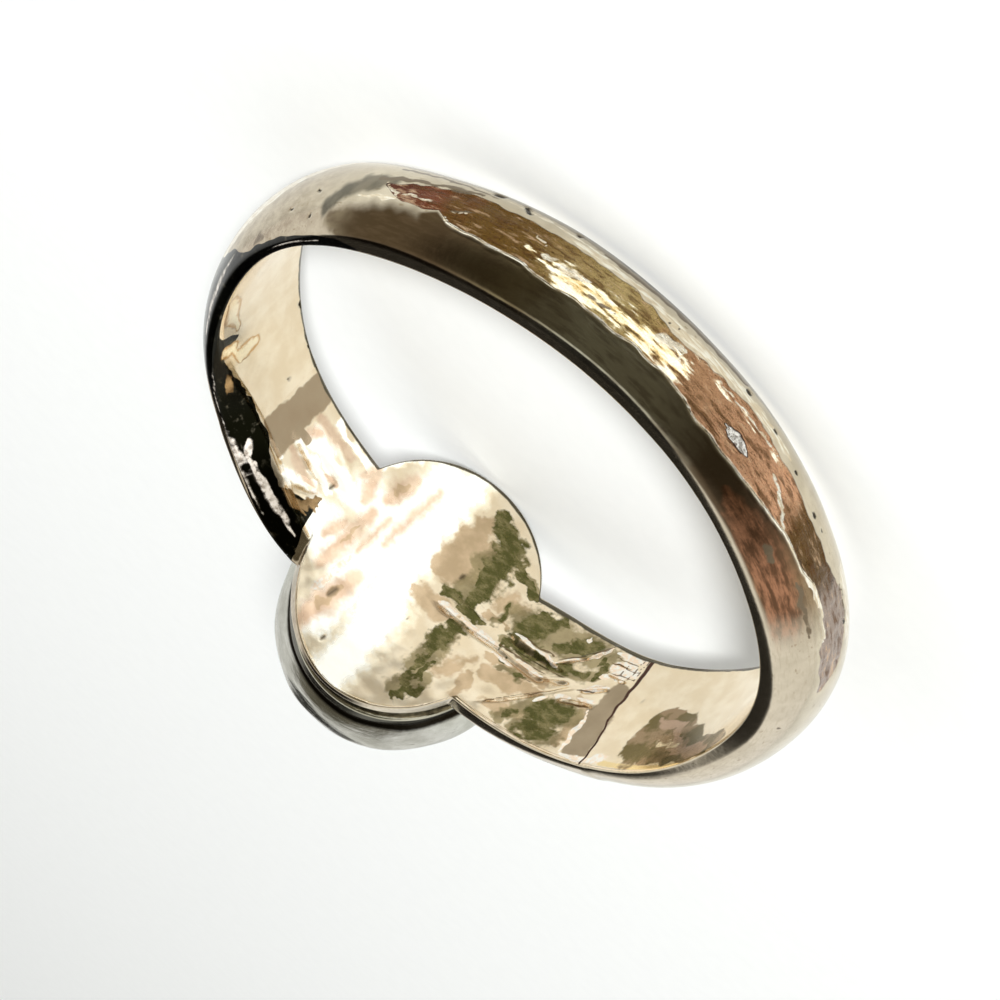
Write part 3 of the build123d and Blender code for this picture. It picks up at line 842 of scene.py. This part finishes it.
near_edge = np.interp(angle, WORN_EDGE[:, 0], WORN_EDGE[:, 1])
near_edge = near_edge + ripples(arc, height * 0, 0.9, 21) * 0.018
far_edge = np.interp(angle, WORN_EDGE[:, 0], WORN_EDGE[:, 2])
far_edge = far_edge + ripples(arc, height * 0, 0.7, 22) * 0.022
worn = np.minimum(near_edge - height, height - far_edge)
from_ends = np.minimum(angle - WORN_EDGE[0, 0], WORN_EDGE[-1, 0] - angle)
worn = np.minimum(worn, from_ends * OUTER_DEGREE)
worn = np.where(outside > 0, worn, -1)
past_ends = np.clip(np.maximum(RIM_FROM - angle, angle - RIM_TO), 0, None)
from_rim = np.abs(near_edge - height) + OUTER_DEGREE * past_ends
rim = np.clip(1 - from_rim / RIM_WIDTH, 0, 1) * outside
side, up = wandered(arc, height, 71)
true = (angle, height, STROKE_R)
place = (angle + side / OUTER_DEGREE, height + up, STROKE_R)
half = (angle + side / 0.45, height + up * 0.4, STROKE_R)
# The near half above the worn patch is painted dark, a painted dark reflection.
strip = np.clip(0.5 + (height - near_edge - 0.05) * 6, 0, 1)
strip = strip * ease(138, 145, angle) * ease(248, 222, angle + 2 * height)
near = np.maximum(strip, strokes(*half, NEAR_TIP, 0.3))
pit = strokes(*true, PITS) * outside
flat = ease(-0.02, 0.08, worn)
relief = RIM_RISE * ease(0.3, 0.7, rim) - WORN_DEPTH * flat
gouged = ripples(arc, height, 0.9, 31) * 0.008 + ripples(arc, height, 0.35, 32) * 0.005
relief = relief + flat * gouged
relief = relief + (1 - flat) * ripples(arc, height, 3.0, 33) * 0.003
relief = relief * outside - PIT_DEPTH * ease(0.3, 0.7, pit) - CROWN_BACK
joint = ease(0, JOINT_FADE, np.minimum(shank_deg - LEFT_JOINT, 360 + RIGHT_JOINT - shank_deg))[:, None]
pressed_in = STAND_BACK + SHANK_PIT * ease(0.3, 0.6, fields["inner_pit"])
points = round_finger(angle, radius, height)
points = pressed(points, relief * joint * (1 - inside) - pressed_in * inside)
shank = grid_piece("shank", points, (arc, height, radius), {
    **fields, "inside": inside, "worn": worn, "pit": pit, "angle": angle / 360,
    # The next fields carry painted light: the near half's dark and warm painted reflections, painted
    # highlights, and painted shade at the far rim.
    "near": near * outside,
    "cream": np.maximum(strokes(*half, CREAM, 0.6), rim) * outside,
    "copper": strokes(*half, WARM_REFLECTION, 0.9) * outside,
    "smoke": strokes(*half, SMOKE) * outside,
    "shade": strokes(*half, SMUDGES, 0.4) * outside,
    "gilt": strokes(*place, GILT_AND_SPARKLE) * outside,
    "silver": strokes(*half, SILVER_SPOT, 0.9) * outside,
    "far_rim": np.clip(1 - (far_gap + 0.06) / 0.6, 0, 1) * outside,
})
shank.data.materials.append(gold.material)
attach(shank, "root")
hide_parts("band_with_setting")

# The collet is a low oval cup, pressed from silvery metal and soldered on the plate's back:
# a groove, a thin rim, a wall that bulges round the stone, and a lip rubbed over its girdle.
COLLET_ROWS = np.array([
    # height over the finger, centre x, half x, half z
    [0.12, -0.30, 0.02, 0.02],
    [0.12, -0.30, 2.90, 3.65],
    [0.16, -0.30, 2.95, 3.70],
    [0.50, -0.30, 2.95, 3.70],
    [0.82, -0.30, 2.95, 3.70],
    [0.85, -0.30, 2.98, 3.73],
    [0.86, -0.30, 3.14, 3.87],
    [0.90, -0.30, 3.20, 3.92],
    [1.05, -0.30, 3.20, 3.92],
    [1.22, -0.30, 3.20, 3.92],
    [1.32, -0.31, 3.17, 3.88],
    [1.36, -0.33, 3.17, 3.86],
    [1.42, -0.37, 3.27, 3.94],
    [1.54, -0.42, 3.40, 4.04],
    [1.72, -0.48, 3.53, 4.14],
    [1.95, -0.53, 3.60, 4.20],
    [2.15, -0.53, 3.58, 4.18],
    [2.32, -0.53, 3.52, 4.12],
    [2.47, -0.52, 3.41, 4.01],
    [2.56, -0.51, 3.28, 3.88],
    [2.60, -0.50, 3.12, 3.72],
    [2.58, -0.48, 2.97, 3.57],
    [2.52, -0.47, 2.88, 3.48],
    [2.40, -0.47, 2.82, 3.42],
    [2.26, -0.47, 2.82, 3.42],
    [2.25, -0.47, 3.02, 3.62],
    [1.86, -0.47, 3.02, 3.62],
    [1.80, -0.47, 2.93, 3.52],
    [0.66, -0.47, 1.02, 1.27],
    [0.65, -0.47, 0.98, 1.23],
    [0.65, -0.47, 0.02, 0.02],
])
PER_GAP, OVAL_POINTS, CUP_DENT, LIP_ROW = 3, 420, 0.012, 22
row = np.arange(len(COLLET_ROWS))
gap = np.linspace(0, row[-1], row[-1] * PER_GAP + 1)
split = np.stack([np.interp(gap, row, column) for column in COLLET_ROWS.T], axis=1)
soft = split.copy()
soft[1:-1] = (split[:-2] + 2 * split[1:-1] + split[2:]) / 4
rise, centre_x, half_x, half_z = [column[:, None] for column in soft.T]
oval_turn = np.linspace(0, math.tau, OVAL_POINTS, endpoint=False)
dents = ripples(oval_turn * 3.6, rise * 3, 2.0, 51) * CUP_DENT
dents = dents * ease(0.9, 1.6, rise) * ease(2.55, 2.3, rise)
dents = np.where(np.arange(len(soft))[:, None] < LIP_ROW * PER_GAP, dents - CUP_DENT, 0)
points = np.stack(np.broadcast_arrays(
    centre_x + (half_x + dents) * np.cos(oval_turn),
    FINGER_R + rise,
    (half_z + dents) * np.sin(oval_turn),
), axis=-1)
collet = grid_piece("collet", points, (points[..., 0], rise, points[..., 2]), {"rise": rise})
cup = Finish("grey silvery collet", Metallic=1.0)
lump = cup.noise((0.8, 2.0, 1.0), 4)
fine = cup.noise((6, 12, 6), 3)
scratch = cup.noise((1.0, 16, 2), 2, turn=12, shift=5)
silver = cup.two_tone(lump, 0.3, 0.7, (176, 175, 164), (210, 209, 200))
silver = cup.mix(cup.sharpen(scratch, 0.66, 0.74) * 0.6, silver, tint(110, 106, 96))
# Painted shade across the cup's rows: near black in the groove under the rim, grey on the rim's face
# and a dark line in the step above it; the rim's edge between groove and face stays light.
across = cup.ramp(cup.field("rise") * 0.384 + (fine - 0.5) * 0.01, [
    (0, 34, 30, 24), (0.325, 34, 30, 24), (0.333, 244, 240, 226), (0.354, 244, 240, 226),
    (0.365, 120, 118, 108), (0.5, 128, 126, 116), (0.515, 52, 48, 42), (0.545, 52, 48, 42),
    (0.565, 255, 255, 255), (1, 255, 255, 255),
])
cup.set("Base Color", cup.add("ShaderNodeMix", {"data_type": "RGBA", "blend_type": "MULTIPLY"},
                              {"Factor": 1.0, 6: silver, 7: across}, out=2))
cup.set("Roughness", 0.16 + fine * 0.14)
cup.set("Normal", cup.bump(lump, 0.03, cup.bump(scratch, 0.006)))
collet.data.materials.append(cup.material)
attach(collet, "root")
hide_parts("band_with_setting")

# The garnet is a cut oval stone held in the collet by its lip. Nothing of it shows from the
# back, so it is finished plainly: a deep red glass with faint inner clouds.
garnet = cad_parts["garnet"]
stone = Finish("garnet", Roughness=0.04, IOR=1.76)
place = stone.add("ShaderNodeTexCoord", {}, {}, out=3)
clouds = stone.add("ShaderNodeTexNoise", {}, {"Vector": place, "Scale": 900.0, "Detail": 3.0})
stone.set("Base Color", stone.mix(clouds, (0.10, 0.002, 0.006, 1), (0.26, 0.006, 0.016, 1)))
garnet.data.materials.clear()
garnet.data.materials.append(stone.material)

# A sheet of white paper, and the camera at the photograph's angle to the ring, carried along
# by the tilt that the ring lies at. Its lens is given in widths of the sensor.
PAPER_HALF, PAPER_TOP = 1, -0.0001
floor_mesh = bpy.data.meshes.new("paper")
floor_mesh.from_pydata([(x * PAPER_HALF, y * PAPER_HALF, PAPER_TOP)
                        for x, y in ((-1, -1), (1, -1), (1, 1), (-1, 1))], [], [(0, 1, 2, 3)])
floor = placed("paper", floor_mesh)
paper = Finish("white paper", Roughness=0.9, Specular_IOR_Level=0.15)
place = paper.add("ShaderNodeTexCoord", {}, {}, out=3)
fibres = paper.add("ShaderNodeTexNoise", {}, {"Vector": place, "Scale": 1600.0, "Detail": 5.0})
paper.set("Base Color", paper.mix(fibres, (0.875, 0.895, 0.89, 1), (0.91, 0.93, 0.925, 1)))
floor_mesh.materials.append(paper.material)

CAMERA_AT = np.array([0.890, -85.008, 48.421])
CAMERA_FORWARD = Vector((-0.010647, 0.873184, -0.487275))
CAMERA_UP = Vector((0.672727, -0.354279, -0.649557))
SENSOR_WIDTH, LENS_WIDTHS = 36, 3.774
tilt = Matrix.Rotation(LYING_TILT, 3, "X")
forward, up = tilt @ CAMERA_FORWARD, tilt @ CAMERA_UP
camera_data = bpy.data.cameras.new("camera")
camera = placed("camera", camera_data)
turned = Matrix((forward.cross(up), up, -forward)).transposed().to_4x4()
camera.matrix_world = Matrix.Translation(Vector(lie_down(CAMERA_AT))) @ turned
camera_data.sensor_width = SENSOR_WIDTH
camera_data.lens = LENS_WIDTHS * SENSOR_WIDTH
camera_data.clip_start = 0.001
bpy.context.scene.camera = camera

# The room is white, with two large dark cards for the metal to reflect: one at the camera's
# side, which darkens the shank's near half, and one behind, which blackens its flat side. One
# soft key light stands on the camera's side too.
KEY_AT, KEY_SIZE, KEY_WATTS = Vector((-0.02, -0.44, 0.170)), 0.06, 3.95


class Room(Finish):
    """The world's own node tree, used like a finish."""

    def __init__(self, name):
        self.world = bpy.data.worlds.new(name)
        self.world.use_nodes = True
        self.tree = self.world.node_tree
        self.shader = self.tree.nodes["Background"]

    def card(self, towards, edge, middle):
        """1 in the middle of a round card, 0 past its edge: the cosine of the angle between
        where the ray goes and where the card stands, eased between the two."""
        away = self.add("ShaderNodeTexCoord", {}, {})
        near = self.add("ShaderNodeVectorMath", {"operation": "DOT_PRODUCT"},
                        {0: away, 1: Vector(towards).normalized()}, out=1)
        return self.sharpen(near, math.cos(math.radians(edge)), math.cos(math.radians(middle)))


room = Room("white room with dark cards")
light = room.mix(room.card((0.0, -0.80, 0.60), 68, 40), (0.98, 0.98, 0.975, 1), (0.15, 0.135, 0.10, 1))
light = room.mix(room.card((0.0, 0.78, 0.60), 26, 14), light, (0.02, 0.018, 0.015, 1))
room.set("Color", light)
bpy.context.scene.world = room.world

key = bpy.data.lights.new("key light", "AREA")
key.shape, key.size, key.energy = "DISK", KEY_SIZE, KEY_WATTS
lamp = placed("key light", key)
towards_ring = (-KEY_AT).to_track_quat("-Z", "Y").to_matrix().to_4x4()
lamp.matrix_world = Matrix.Translation(KEY_AT) @ towards_ring
lamp.visible_glossy = False
bpy.context.scene.view_settings.view_transform = "Standard"
